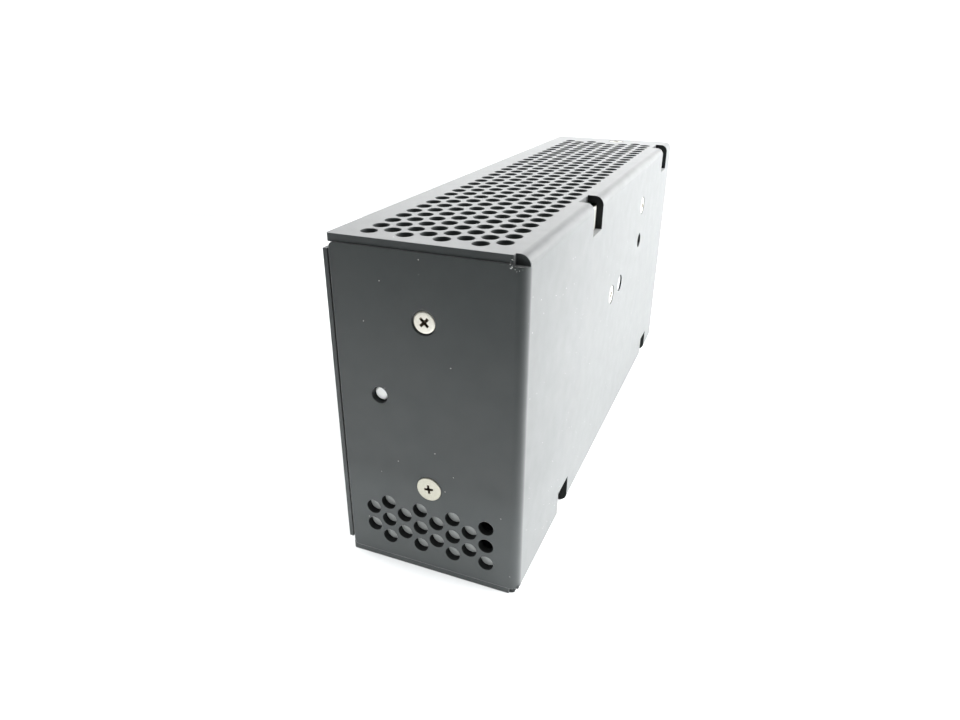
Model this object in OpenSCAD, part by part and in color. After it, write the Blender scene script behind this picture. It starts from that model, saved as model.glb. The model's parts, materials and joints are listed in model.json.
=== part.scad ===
// Enclosed switch-mode power supply with a spring clip for 35 mm rail.
// A folded sheet case holds one upright circuit board. The vented end is at low y, the terminal
// end at high y, and the rail clip is on the flat side cover at low x.
// Lengths are millimetres. Parts are drawn with x = 0 at the left edge of the roof, y = 0 at the
// vented end and z = 0 at the base, and place() then moves the origin to the middle of the base.

/* [Case] */
// Width of the case
case_w = 50; // [49:0.5:54]
// Height of the case
case_h = 92; // [91:0.5:96]
// Length of the case
case_d = 188; // [187:0.5:192]
// Thickness of the case sheet
sheet_t = 2; // [1.6:0.1:2.2]
// Outside radius of the folds
fold_r = 2.6; // [2.4:0.1:3]
// Thickness of the side cover
cover_t = 1.2; // [1:0.1:1.3]

/* [Vents] */
// Diameter of each vent hole
vent_d = 4.2; // [3:0.1:4.4]
// Distance between columns of vent holes
vent_col = 4.72; // [4.7:0.02:4.8]
// Distance between holes in one column
vent_row = 5.66; // [5.6:0.02:5.7]

/* [Board] */
// Gap between the board and the case wall
board_gap = 4.5; // [4:0.5:5]
// Thickness of the circuit board
board_t = 1.6; // [1.2:0.2:2]

/* [Rail clip] */
// Height of the rail that the clip grips
rail_h = 35; // [35:35]
// Height of the rail's centre line above the base
rail_z = 46; // [44:1:47]
// Travel of the latch
latch_travel = 4.5; // [4:0.1:4.5]

/* [Terminals] */
// Number of screw terminals
poles = 7; // [5:1:7]
// Distance between screw terminals
pole_pitch = 9.5; // [9:0.5:9.5]

/* [Hidden] */
$fn = 48;

// How far a cutting tool runs past a face
over = 1;
// Radial play between a thread and the part it is screwed into
thread_gap = 0.05;

// Case
wall_x = case_w - sheet_t;             // inner face of the broad wall
fold_x = case_w - fold_r;              // centre line of the upright and lying folds
flange_x = 0.7;                        // free edge of the vented end
seam = 1.9;                            // seam of the vented end, in from the roof's top and the base
seam_step = 0.3;                       // roof and floor end this far behind the vented end's face
flange_corner_r = 1.4;                 // round on the free corners of the vented end
roof_corner_r = 0.8;                   // round on the free corners of the roof and the floor
relief_top_y = 1.8;                    // depth of the corner relief at the roof
relief_top_x = 0.8;                    // the same relief, past the fold
relief_top_z = 2.5;                    // the same relief, down from the roof's top
relief_low_y = 0.8;                    // depth of the corner relief at the floor
slot_len = 10;                         // bracket slots, along the case
slot_in = 4.7;                         // bracket slots, in from the broad wall
slot_drop = 9.4;                       // bracket slots, down the broad wall
roof_slots = [60.5, 173];
floor_slots = [40, 167.5];

// Vent field in the roof and the floor, and the cluster in the vented end
field_x = 8.5;
field_y = 5.75;
field_cols = 8;
field_rows = floor((case_d - 2 * field_y + 1) / vent_row);
patch_r = 7.5;                         // plain patch round the panel screw
cluster_x = 7.9;
cluster_z = 8.15;

// Screw places
panel_screw = [27.4, 181.5];
end_screw_x = 25;
end_screw_z = [27.2, 73.4];
end_head_r = [3.45, 2.9];
end_head_rise = [0.25, -0.35];
end_sink_r = [3.5, 3.15];
end_sink_step = [0.15, 0.35];
peg_place = [12, 52];
peg_r = 1.9;
wall_screws = [[88, 55.1], [131.3, 76.2]];
wall_nut_place = [130.7, 63];
wall_nut_r = 2.7;
wall_nut_flange_r = 3.9;
wall_nut_flange_t = 3.2;
wall_post_place = [100.7, 55.2];
wall_post_head_r = 3.1;
wall_post_r = 2.5;
m3_r = 1.45;
m3_head_r = 2.9;
m4_core_r = 1.65;

// Side cover and its brackets
cover_x = -1.2;
cover_z0 = 3.8;
cover_inner = cover_x + cover_t;
angle_t = 1.4;
angle_z0 = 22.5;
angle_z1 = 80;
end_angle_y = sheet_t + 0.6;

// Front panel at the back of the wire bay
panel_t = 1.5;
panel_y = 174;
panel_tab = [20, 35];
cover_screw_x = 9.5;

// Board
board_back = wall_x - board_gap;
board_face = board_back - board_t;
board_y = [6, 172];
board_z = [4.5, case_h - 4.5];
post_places = [[11, 9], [11, 83.5], [104, 84], [150, 84.5], [157, 9]];
post_r = 3.175;
film_t = 0.4;

// Parts on the board: [place along y, place along z]
sink_t = 4;
sink_h = 30;
primary_y = [62, 91.5];
secondary_y = [112, 148];
transistor_places = [70, 82];
diode_places = [121, 138];
bulk_places = [[22, 24], [46, 26]];
output_places = [[155, 48], [155, 61.5], [155, 75]];
ceramic_places = [[92, 28], [80, 26], [70, 26]];
opto_places = [[86, 34], [86, 42]];

// Terminal strip
strip_x = 26;
strip_y = 162;
strip_z = 5;
strip_front = 184;
pocket_y = 176;
rib_t = 1.5;
strip_end = strip_z + poles * pole_pitch + rib_t;
hinge_x = 44.2;
hinge_y = 184.2;
pin_r = 1.2;
knuckle_r = 1.6;
ear_t = 1.6;
screw_x = 33.5;

// Indicator and adjuster
adjust_x = 37;
adjust_z = 79;
rotor_r = 1.7;
led_z = 85;
led_r = 1.5;

// Rail clip
clip_y = 94;
clip_w = 48;
bracket_t = 1.5;
clip_face = cover_x - bracket_t;       // face that the rail lies against
rail_low = rail_z - rail_h / 2;
rail_high = rail_z + rail_h / 2;
rail_gap = 1.3;                        // room behind the face for the rail's 1 mm edge
hook_t = 1.5;
latch_gap = 0.1;
latch_t = 4.5;
latch_back = clip_face - latch_gap;
latch_low = 5;
latch_w = 20;
window_w = 4.6;
tab_z = 13.5;
tab_t = 1.5;
window_top = 24;
spring_r = 1.55;
spring_wire = 0.5;
spring_turns = 6;
clip_screws = [[clip_y - 19, 21], [clip_y + 19, 21], [clip_y - 19, 70.5], [clip_y + 19, 70.5]];

// Bounding box of the whole object
x_low = latch_back - latch_t;
y_low = -end_head_rise[0];

// ---------------------------------------------------------------- shared shapes

// Moves a part from the drawing frame to the part's own origin
module place() {
    translate([-(x_low + case_w) / 2, -(y_low + case_d) / 2, 0]) children();
}

// A block given by its low and high corners
module block(low, high) {
    translate(low) cube(high - low);
}

// Stands a shape on the board: its z points away from the board, its x points up
module on_board(y, z, lift = 0) {
    translate([board_face - lift, y, z]) rotate([0, -90, 0]) children();
}

// A block on the board, centred on [y, z], len_y long, len_z high and rise tall
module board_block(y, z, len_y, len_z, rise, lift = 0) {
    block([board_face - lift - rise, y - len_y / 2, z - len_z / 2],
          [board_face - lift, y + len_y / 2, z + len_z / 2]);
}

module tube(r_out, r_in, h) {
    difference() {
        cylinder(r = r_out, h = h);
        translate([0, 0, -over]) cylinder(r = r_in, h = h + 2 * over);
    }
}

// Quarter of a tube in the +x +y quadrant: one fold of the sheet
module fold(len) {
    intersection() {
        tube(fold_r, fold_r - sheet_t, len);
        translate([0, 0, -over]) cube([fold_r + over, fold_r + over, len + 2 * over]);
    }
}

// Cross recess cut down from z = 0
module cross_cut(reach = 3, deep = 1.1) {
    for (turn = [45, 135]) rotate([0, 0, turn])
        translate([-reach / 2, -0.4, -deep]) cube([reach, 0.8, deep + over]);
}

// Countersunk screw pointing down -z, with the rim of its head at z = 0
module flat_screw(head_r, shank_r, len, rim = 0.3) {
    difference() {
        union() {
            translate([0, 0, -rim]) cylinder(r = head_r, h = rim);
            translate([0, 0, -rim - (head_r - rim - shank_r)])
                cylinder(r1 = shank_r, r2 = head_r - rim, h = head_r - rim - shank_r);
            translate([0, 0, -len]) cylinder(r = shank_r, h = len - rim);
        }
        cross_cut();
    }
}

// Pan-head screw pointing down -z, with the underside of its head at z = 0
module pan_screw(head_r, head_h, shank_r, len) {
    difference() {
        union() {
            cylinder(r = head_r, h = head_h * 0.6);
            translate([0, 0, head_h * 0.6])
                cylinder(r1 = head_r, r2 = head_r * 0.7, h = head_h * 0.4);
            translate([0, 0, -len]) cylinder(r = shank_r, h = len + head_h / 2);
        }
        translate([0, 0, head_h]) cross_cut(reach = head_r, deep = 0.9);
    }
}

// Countersunk hole down -z from z = 0, through a sheet, with a straight step above its cone
module sink_hole(head_r, shank_r, sheet, step) {
    cone = head_r - shank_r;
    translate([0, 0, -sheet - over]) cylinder(r = shank_r, h = sheet + 2 * over);
    translate([0, 0, -step - cone]) cylinder(r1 = shank_r, r2 = head_r, h = cone);
    translate([0, 0, -step]) cylinder(r = head_r, h = step + over);
}

// Ring of square section with a hollow of its own inside, for a winding round a core
module coil_sector(r_in, r_out, h, core_in, core_out, core_z0, core_z1, turn, sweep) {
    rotate([0, 0, turn]) rotate_extrude(angle = sweep) difference() {
        translate([r_in, 0]) square([r_out - r_in, h]);
        translate([core_in, core_z0]) square([core_out - core_in, core_z1 - core_z0]);
    }
}

// ---------------------------------------------------------------- case

function field_hole(c, r) =
    [field_x + c * vent_col, field_y + r * vent_row + (c % 2) * vent_row / 2];

// Vent field of the roof, with its plain patch round the screw
module field_holes() {
    for (c = [0 : field_cols - 1])
        for (r = [0 : field_rows - 1 - c % 2])
            if (norm(field_hole(c, r) - panel_screw) > patch_r)
                translate(field_hole(c, r)) circle(d = vent_d, $fn = 24);
}

// Roof or floor, flat, with its free corners rounded
module flat_sheet(vented) {
    linear_extrude(sheet_t) difference() {
        union() {
            translate([roof_corner_r, seam_step]) square([fold_x - roof_corner_r, case_d - seam_step]);
            translate([0, seam_step + roof_corner_r])
                square([fold_x, case_d - seam_step - 2 * roof_corner_r]);
            for (y = [seam_step + roof_corner_r, case_d - roof_corner_r])
                translate([roof_corner_r, y]) circle(r = roof_corner_r);
        }
        if (vented) field_holes();
    }
}

module slot_cut(y, z) {
    translate([case_w - slot_in, y - slot_len / 2, z]) cube([slot_in + over, slot_len, slot_drop + over]);
}

// Holes in the vented end: a staggered cluster, the peg hole and two countersunk holes
module end_holes() {
    for (c = [0 : field_cols - 1])
        for (r = [0 : 1 + c % 2])
            translate([cluster_x + c * vent_col, -over, cluster_z + (r + (1 - c % 2) / 2) * vent_row])
                rotate([-90, 0, 0]) cylinder(d = vent_d, h = sheet_t + 2 * over);
    translate([peg_place[0], -over, peg_place[1]])
        rotate([-90, 0, 0]) cylinder(d = 4.5, h = sheet_t + 2 * over);
    for (i = [0, 1])
        translate([end_screw_x, 0, end_screw_z[i]])
            rotate([90, 0, 0]) sink_hole(end_sink_r[i], 1.7, sheet_t, end_sink_step[i]);
}

module wall_holes() {
    for (p = wall_screws)
        translate([case_w, p[0], p[1]]) rotate([0, 90, 0]) sink_hole(3.2, 1.7, sheet_t, 0.45);
    translate([wall_x - over, wall_nut_place[0], wall_nut_place[1]])
        rotate([0, 90, 0]) cylinder(r = wall_nut_r, h = sheet_t + 2 * over);
    translate([wall_x - over, wall_post_place[0], wall_post_place[1]])
        rotate([0, 90, 0]) cylinder(r = wall_post_head_r, h = sheet_t + 2 * over);
}

// Plate in the x-z plane with its two corners on the low-x side rounded
module end_plate(low, high, corner_r) {
    block([low[0] + corner_r, low[1], low[2]], high);
    block([low[0], low[1], low[2] + corner_r], [high[0], high[1], high[2] - corner_r]);
    for (z = [low[2] + corner_r, high[2] - corner_r])
        translate([low[0] + corner_r, low[1], z])
            rotate([-90, 0, 0]) cylinder(r = corner_r, h = high[1] - low[1]);
}

// Broad wall, roof, floor and vented end, folded from one sheet
module chassis() {
    color("dimgray") place() difference() {
        union() {
            block([wall_x, fold_r, fold_r], [case_w, case_d, case_h - fold_r]);
            flat_sheet(vented = false);
            translate([0, 0, case_h - sheet_t]) flat_sheet(vented = true);
            end_plate([flange_x, 0, seam], [fold_x, sheet_t, case_h - seam], flange_corner_r);
            translate([fold_x, case_d, case_h - fold_r]) rotate([90, 0, 0]) fold(case_d - relief_top_y);
            translate([fold_x, relief_low_y, fold_r]) rotate([-90, 0, 0]) fold(case_d - relief_low_y);
            translate([fold_x, fold_r, case_h - seam]) rotate([180, 0, 0]) fold(case_h - 2 * seam);
        }
        block([fold_x, -over, 0.5], [case_w + over, 4.5, seam]);
        block([fold_x - relief_top_x, -over, case_h - relief_top_z],
              [case_w + over, relief_top_y, case_h + over]);
        end_holes();
        wall_holes();
        for (y = roof_slots) slot_cut(y, case_h - slot_drop);
        for (y = floor_slots) slot_cut(y, -over);
        translate([panel_screw[0], panel_screw[1], case_h]) sink_hole(m3_head_r + 0.2, 1.7, sheet_t, 0.35);
        translate([panel_screw[0], panel_screw[1], 0])
            rotate([180, 0, 0]) sink_hole(m3_head_r + 0.2, 1.7, sheet_t, 0.35);
    }
}

// Flat plate that closes the open side and carries the rail clip
module side_cover() {
    color("dimgray") place() difference() {
        block([cover_x, 0.4, cover_z0], [cover_inner, case_d - 0.4, case_h - cover_z0]);
        for (p = clip_screws)
            translate([cover_x - over, p[0], p[1]])
                rotate([0, 90, 0]) cylinder(r = 1.6, h = cover_t + 2 * over);
    }
}

// Angle inside the cover: one leg along the cover, one across the end
module cover_angle(y0, leg_y, leg_x1, screw_x, peg) {
    difference() {
        union() {
            block([cover_inner, y0, angle_z0], [cover_inner + angle_t, y0 + 14, angle_z1]);
            block([cover_inner, leg_y, angle_z0], [leg_x1, leg_y + angle_t, angle_z1]);
        }
        for (z = end_screw_z)
            translate([screw_x, leg_y - over, z])
                rotate([-90, 0, 0]) cylinder(r = m3_r + thread_gap, h = angle_t + 2 * over);
        if (peg)
            translate([peg_place[0], leg_y - over, peg_place[1]])
                rotate([-90, 0, 0]) cylinder(r = peg_r + thread_gap, h = angle_t + 2 * over);
    }
}

module cover_brackets() {
    color("silver") place() {
        cover_angle(end_angle_y, end_angle_y, 30.4, end_screw_x, true);
        cover_angle(panel_y - 14, panel_y - angle_t, 16, cover_screw_x, false);
    }
}

// Nuts pressed into the cover for the rail clip's screws
module cover_nuts() {
    color("silver") place()
        for (p = clip_screws)
            translate([cover_inner, p[0], p[1]]) rotate([0, 90, 0]) difference() {
                cylinder(r = 2.9, h = 2.6, $fn = 6);
                translate([0, 0, -over]) cylinder(r = m3_r + thread_gap, h = 2.6 + 2 * over);
            }
}

// Plate behind the wire bay, held to the roof and the floor by its two tabs
module front_panel() {
    top = case_h - sheet_t - 0.05;
    low = sheet_t + 0.05;
    color("dimgray") place() difference() {
        union() {
            block([0.6, panel_y, low], [wall_x - 0.4, panel_y + panel_t, top]);
            block([panel_tab[0], panel_y, top - panel_t], [panel_tab[1], case_d - 2, top]);
            block([panel_tab[0], panel_y, low], [panel_tab[1], case_d - 2, low + panel_t]);
        }
        block([strip_x - 0.4, panel_y - over, strip_z - 0.4],
              [board_face + 0.4, panel_y + panel_t + over, strip_end + 0.4]);
        translate([adjust_x, panel_y - over, adjust_z])
            rotate([-90, 0, 0]) cylinder(r = 2.6, h = panel_t + 2 * over);
        translate([adjust_x, panel_y - over, led_z])
            rotate([-90, 0, 0]) cylinder(r = led_r + 0.2, h = panel_t + 2 * over);
        for (z = end_screw_z)
            translate([cover_screw_x, panel_y - over, z])
                rotate([-90, 0, 0]) cylinder(r = 1.6, h = panel_t + 2 * over);
        translate([panel_screw[0], panel_screw[1], -over])
            cylinder(r = m3_r + thread_gap, h = case_h + 2 * over);
    }
}

// Two screws through the vented end; the lower head stands a little proud
module near_end_screws() {
    color("gainsboro") place()
        for (i = [0, 1])
            translate([end_screw_x, -end_head_rise[i], end_screw_z[i]])
                rotate([90, 0, 0]) flat_screw(end_head_r[i], m3_r, 8, rim = i == 0 ? 0.4 : 0.2);
}

// One screw in the roof and one in the floor
module panel_screws() {
    color("gainsboro") place() {
        translate([panel_screw[0], panel_screw[1], case_h]) flat_screw(m3_head_r, m3_r, 4);
        translate([panel_screw[0], panel_screw[1], 0]) rotate([180, 0, 0]) flat_screw(m3_head_r, m3_r, 4);
    }
}

// Two screws in the wire bay that pull the cover's far angle to the panel
module cover_screws() {
    color("gainsboro") place()
        for (z = end_screw_z)
            translate([cover_screw_x, panel_y + panel_t, z])
                rotate([-90, 0, 0]) pan_screw(2.8, 1.9, m3_r, 5);
}

// Screws through the broad wall into the two heatsinks
module heatsink_screws() {
    color("gainsboro") place()
        for (p = wall_screws)
            translate([case_w - 0.1, p[0], p[1]]) rotate([0, 90, 0]) flat_screw(3.05, m3_r, 14);
}

// M4 nut pressed in from inside: its collar enters the wall's hole and stays well below the face
module wall_nut() {
    collar = 0.5;
    color("silver") place()
        translate([wall_x, wall_nut_place[0], wall_nut_place[1]]) rotate([0, 90, 0]) difference() {
            union() {
                translate([0, 0, -wall_nut_flange_t]) cylinder(r = wall_nut_flange_r, h = wall_nut_flange_t);
                cylinder(r = wall_nut_r, h = collar);
            }
            translate([0, 0, -wall_nut_flange_t - over]) cylinder(r = m4_core_r, h = 5 + 2 * over);
        }
}

// Blind post that steadies the board: its round head is pressed flush into the wall
module wall_post() {
    pin_r = 1.4;
    color("dimgray") place()
        translate([wall_x, wall_post_place[0], wall_post_place[1]]) rotate([0, 90, 0]) {
            cylinder(r = wall_post_head_r, h = sheet_t - 0.05);
            translate([0, 0, -board_gap]) cylinder(r = wall_post_r, h = board_gap);
            translate([0, 0, -board_gap - board_t]) cylinder(r = pin_r, h = board_t);
        }
}

// ---------------------------------------------------------------- insulation and board

// Card held between the vented end and the angle, one upper corner cut away
module end_insulator() {
    y = sheet_t + 0.1;
    color("ivory") place() difference() {
        block([4, y, 3], [45, y + film_t, case_h - 6]);
        block([38, y - over, 11], [46, y + film_t + over, case_h]);
        for (z = end_screw_z)
            translate([end_screw_x, y - over, z]) rotate([-90, 0, 0]) cylinder(r = 2, h = 3);
        translate([peg_place[0], y - over, peg_place[1]])
            rotate([-90, 0, 0]) cylinder(r = 2.3, h = 3);
    }
}

// Rivet pressed into the angle to pin the card; its tip shows in the vented end's round hole
module nylon_rivet() {
    back = end_angle_y + angle_t;
    tip = 1.1;
    color("white") place() translate([peg_place[0], 0, peg_place[1]]) {
        translate([0, tip + 0.4, 0]) rotate([-90, 0, 0]) cylinder(r = peg_r, h = back - tip - 0.4);
        translate([0, tip, 0]) rotate([-90, 0, 0]) cylinder(r1 = peg_r - 0.35, r2 = peg_r, h = 0.4);
        translate([0, back, 0]) rotate([-90, 0, 0]) cylinder(r = 3.4, h = 1.2);
    }
}

// Film between the board's solder side and the broad wall
module board_insulator() {
    color("ivory") place() difference() {
        block([wall_x - film_t, 6, 13], [wall_x, 160, case_h - fold_r - 0.2]);
        for (p = concat(post_places, wall_screws, [wall_post_place, wall_nut_place]))
            translate([wall_x - film_t - over, p[0], p[1]])
                rotate([0, 90, 0]) cylinder(r = wall_nut_flange_r + 0.2, h = film_t + 2 * over);
    }
}

module circuit_board() {
    color("darkgreen") place() difference() {
        block([board_face, board_y[0], board_z[0]], [board_back, board_y[1], board_z[1]]);
        for (p = concat(post_places, wall_screws))
            translate([board_face - over, p[0], p[1]])
                rotate([0, 90, 0]) cylinder(r = 1.6, h = board_t + 2 * over);
        translate([board_face - over, wall_post_place[0], wall_post_place[1]])
            rotate([0, 90, 0]) cylinder(r = 1.45, h = board_t + 2 * over);
    }
}

module board_standoffs() {
    color("silver") place()
        for (p = post_places)
            translate([board_back, p[0], p[1]]) rotate([0, 90, 0]) difference() {
                cylinder(r = post_r, h = board_gap, $fn = 6);
                translate([0, 0, -over]) cylinder(r = m3_r + thread_gap, h = board_gap + 2 * over);
            }
}

module board_screws() {
    color("gainsboro") place()
        for (p = post_places) on_board(p[0], p[1]) pan_screw(2.7, 1.9, m3_r, 5.5);
}

module heatsink_spacers() {
    color("silver") place()
        for (p = wall_screws)
            translate([board_back, p[0], p[1]]) rotate([0, 90, 0]) tube(3, 1.7, board_gap);
}

// ---------------------------------------------------------------- parts on the board

// Upright plate with fins along its free edge and a tapped hole in its foot
module heatsink(ys, z, screw) {
    fin_h = 3;
    difference() {
        union() {
            block([board_face - sink_h, ys[0], z - sink_t / 2], [board_face, ys[1], z + sink_t / 2]);
            for (i = [0 : 2])
                block([board_face - sink_h + 3 * i, ys[0], z - sink_t / 2 - fin_h],
                      [board_face - sink_h + 3 * i + 1.2, ys[1], z + sink_t / 2]);
        }
        translate([board_face - 7, screw[0], screw[1]])
            rotate([0, 90, 0]) cylinder(r = m3_r + thread_gap, h = 7 + over);
    }
}

module primary_heatsink() {
    color("silver") place() heatsink(primary_y, wall_screws[0][1], wall_screws[0]);
}

module secondary_heatsink() {
    color("silver") place() heatsink(secondary_y, wall_screws[1][1], wall_screws[1]);
}

// Three-leg power package: body, metal tab with a hole, legs down to the board
module power_package(y, z_back, side) {
    rise = 6;
    z_front = z_back + side * 4.5;
    difference() {
        block([board_face - rise - 9.5, y - 5, min(z_back, z_front)],
              [board_face - rise, y + 5, max(z_back, z_front)]);
        block([board_face - rise - 9.5 - over, y - 6, min(z_back + side * 3.9, z_back + side * 6)],
              [board_face - rise - 8.5, y + 6, max(z_back + side * 3.9, z_back + side * 6)]);
    }
    difference() {
        block([board_face - rise - 15, y - 5, min(z_back, z_back + side * 1.3)],
              [board_face - rise - 9.5, y + 5, max(z_back, z_back + side * 1.3)]);
        translate([board_face - rise - 12.6, y, z_back - 3]) cylinder(r = 1.6, h = 6);
    }
    for (leg = [-2.54, 0, 2.54])
        block([board_face - rise, y + leg - 0.35, min(z_back + side * 2.2, z_back + side * 2.7)],
              [board_face, y + leg + 0.35, max(z_back + side * 2.2, z_back + side * 2.7)]);
}

pad_t = 0.3;
primary_low = wall_screws[0][1] - sink_t / 2;
secondary_high = wall_screws[1][1] + sink_t / 2;

module switching_transistors() {
    color("black") place() for (y = transistor_places) power_package(y, primary_low - pad_t, -1);
}

module output_diodes() {
    color("black") place() for (y = diode_places) power_package(y, secondary_high + pad_t, 1);
}

module thermal_pads() {
    color("lightblue") place() {
        for (y = transistor_places)
            pad(y, primary_low - pad_t);
        for (y = diode_places)
            pad(y, secondary_high);
    }
}

module pad(y, z) {
    difference() {
        block([board_face - 21.5, y - 5.5, z], [board_face - 5.5, y + 5.5, z + pad_t]);
        translate([board_face - 18.6, y, z - over]) cylinder(r = 1.6, h = pad_t + 2 * over);
    }
}

// Screws that hold each power package to its heatsink
module transistor_screws() {
    color("gainsboro") place() {
        for (y = transistor_places)
            translate([board_face - 18.6, y, primary_low - pad_t - 1.3])
                rotate([180, 0, 0]) pan_screw(2.6, 1.8, 1.4, 1.5);
        for (y = diode_places)
            translate([board_face - 18.6, y, secondary_high + pad_t + 1.3])
                pan_screw(2.6, 1.8, 1.4, 1.5);
    }
}

// Two E-shaped ferrite halves round a centre leg, seen from the board's front:
// w along the board, t thick, h tall, with a small air gap between the halves
module e_cores(w, t, h, leg, yoke) {
    window = w / 2 - leg;
    for (half = [0, 1])
        translate([-t / 2, -w / 2, half * (h / 2 + 0.05)]) difference() {
            cube([t, w, h / 2 - 0.05]);
            for (side = [-1, 1])
                translate([-over, w / 2 + side * (leg / 2 + window / 2) - window / 2,
                           half == 0 ? yoke : -over])
                    cube([t + 2 * over, window, h / 2 - yoke + over - 0.05]);
        }
}

// Spool round the centre leg with a flange at each end and a row of pins to the board
module spool(leg, t, flange_y, flange_x, z0, z1) {
    wall = 1;
    play = 0.3;
    difference() {
        union() {
            translate([-t / 2 - wall - play, -leg / 2 - wall - play, z0])
                cube([t + 2 * (wall + play), leg + 2 * (wall + play), z1 - z0]);
            for (z = [z0, z1 - wall])
                translate([-flange_x / 2, -flange_y / 2, z]) cube([flange_x, flange_y, wall]);
        }
        translate([-t / 2 - play, -leg / 2 - play, z0 - over])
            cube([t + 2 * play, leg + 2 * play, z1 - z0 + 2 * over]);
    }
    for (side = [-1, 1])
        for (i = [-2 : 2])
            translate([side * (flange_x / 2 - 1.5) - 0.4, i * flange_y / 6 - 0.4, 0])
                cube([0.8, 0.8, z0 + wall / 2]);
}

// Wound turns on the spool
module spool_coil(leg, t, out_y, out_x, z0, z1) {
    inner = 1.4;
    difference() {
        translate([-out_x / 2, -out_y / 2, z0]) cube([out_x, out_y, z1 - z0]);
        translate([-t / 2 - inner, -leg / 2 - inner, z0 - over])
            cube([t + 2 * inner, leg + 2 * inner, z1 - z0 + 2 * over]);
    }
}

main_at = [110.5, 54];
main_leg = 10;
boost_at = [44, 66];
boost_leg = 8;

module transformer_core() {
    color("dimgray") place() on_board(main_at[0], main_at[1], 1.5) e_cores(34, 11, 28, main_leg, 5);
}

module transformer_bobbin() {
    color("black") place() on_board(main_at[0], main_at[1]) spool(main_leg, 11, 20, 30, 6.7, 24.3);
}

module transformer_winding() {
    color("gold") place() on_board(main_at[0], main_at[1]) spool_coil(main_leg, 11, 19, 26, 7.8, 23.2);
}

module boost_choke_core() {
    color("dimgray") place() on_board(boost_at[0], boost_at[1], 1.5) e_cores(27, 9, 23, boost_leg, 4);
}

module boost_choke_bobbin() {
    color("black") place() on_board(boost_at[0], boost_at[1]) spool(boost_leg, 9, 16, 25, 5.7, 20.3);
}

module boost_choke_winding() {
    color("peru") place() on_board(boost_at[0], boost_at[1]) spool_coil(boost_leg, 9, 15.2, 22, 6.8, 19.2);
}

// Mains filter choke: a ferrite ring with two windings
module line_choke_core() {
    color("dimgray") place() on_board(120, 20, 2) tube(10.5, 6.5, 9);
}

module line_choke_windings() {
    color("peru") place() on_board(120, 20, 0.5)
        for (turn = [15, 195]) coil_sector(5, 12, 12, 6.4, 10.6, 1.4, 10.6, turn, 150);
}

module output_choke_core() {
    color("goldenrod") place() on_board(138, 47, 1.5) tube(8.2, 5, 7.5);
}

module output_choke_winding() {
    color("peru") place() on_board(138, 47, 0.3)
        coil_sector(3.6, 9.5, 9.9, 4.9, 8.3, 1.1, 8.8, 20, 320);
}

// Round capacitor: body with a rolled groove near its foot and a recessed top
module can(r, h) {
    rotate_extrude() polygon([[0, 0], [r - 0.6, 0], [r, 0.6], [r, 2], [r - 0.6, 2.6], [r, 3.2],
        [r, h - 0.6], [r - 0.6, h], [r - 1.4, h], [r - 1.4, h - 0.5], [0, h - 0.5]]);
}

module bulk_capacitors() {
    color("midnightblue") place() for (p = bulk_places) on_board(p[0], p[1], 0.2) can(11, 32);
}

module output_capacitors() {
    color("darkslategray") place() for (p = output_places) on_board(p[0], p[1], 0.2) can(6.25, 25);
}

// Boxed film capacitors across the mains
module line_capacitors() {
    color("gold") place() {
        board_block(144, 25, 18, 9, 16, 0.3);
        board_block(93, 13, 18, 9, 16, 0.3);
    }
}

// Blue ceramic discs, each on two legs
module suppression_capacitors() {
    r = 4.5;
    color("royalblue") place()
        for (p = ceramic_places) {
            translate([board_face - 1.5 - r, p[0] - 1.75, p[1]]) rotate([-90, 0, 0]) cylinder(r = r, h = 3.5);
            for (side = [-1, 1])
                block([board_face - 3.5, p[0] - 0.3, p[1] + side * 2.5 - 0.3],
                      [board_face, p[0] + 0.3, p[1] + side * 2.5 + 0.3]);
        }
}

module bridge_rectifier() {
    color("black") place() {
        board_block(54, 10, 19, 5, 14, 4);
        for (i = [-1.5 : 1.5]) board_block(54 + i * 5, 10, 1, 0.8, 4.2);
    }
}

module inrush_thermistor() {
    color("darkgreen") place() {
        translate([board_face - 8.5, 74, 10]) rotate([-90, 0, 0]) cylinder(r = 6.2, h = 4);
        for (side = [-1, 1]) board_block(76, 10 + side * 2.5, 0.8, 0.8, 4);
    }
}

fuse_y = [132, 152];
fuse_z = 12;
fuse_lift = 5;

module fuse_tube() {
    color("lightcyan") place()
        translate([board_face - fuse_lift, fuse_y[0] + 5.1, fuse_z])
            rotate([-90, 0, 0]) tube(2.5, 2, fuse_y[1] - fuse_y[0] - 10.2);
}

module fuse_caps() {
    color("silver") place()
        for (y = [fuse_y[0], fuse_y[1] - 5])
            translate([board_face - fuse_lift, y, fuse_z]) rotate([-90, 0, 0]) cylinder(r = 2.6, h = 5);
}

// Spring clips that grip the fuse's caps
module fuse_clips() {
    color("silver") place()
        for (y = [fuse_y[0] + 0.5, fuse_y[1] - 4.5])
            difference() {
                block([board_face - fuse_lift - 1.5, y, fuse_z - 3.2], [board_face, y + 4, fuse_z + 3.2]);
                block([board_face - fuse_lift - 2.5, y - over, fuse_z - 1.8],
                      [board_face - fuse_lift, y + 5, fuse_z + 1.8]);
                translate([board_face - fuse_lift, y - over, fuse_z])
                    rotate([-90, 0, 0]) cylinder(r = 2.65, h = 6);
            }
}

// Dual in-line chip with a row of legs on each side
module chip(y, z, len, legs) {
    board_block(y, z, len, 6.4, 3.3, 0.6);
    for (side = [-1, 1])
        for (i = [0 : legs - 1])
            board_block(y + (i - (legs - 1) / 2) * 2.54, z + side * 3.55, 0.5, 0.7, 2.4);
}

module control_chip() {
    color("black") place() chip(68, 38, 10, 4);
}

module optocouplers() {
    color("black") place() for (p = opto_places) chip(p[0], p[1], 4.8, 2);
}

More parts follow.
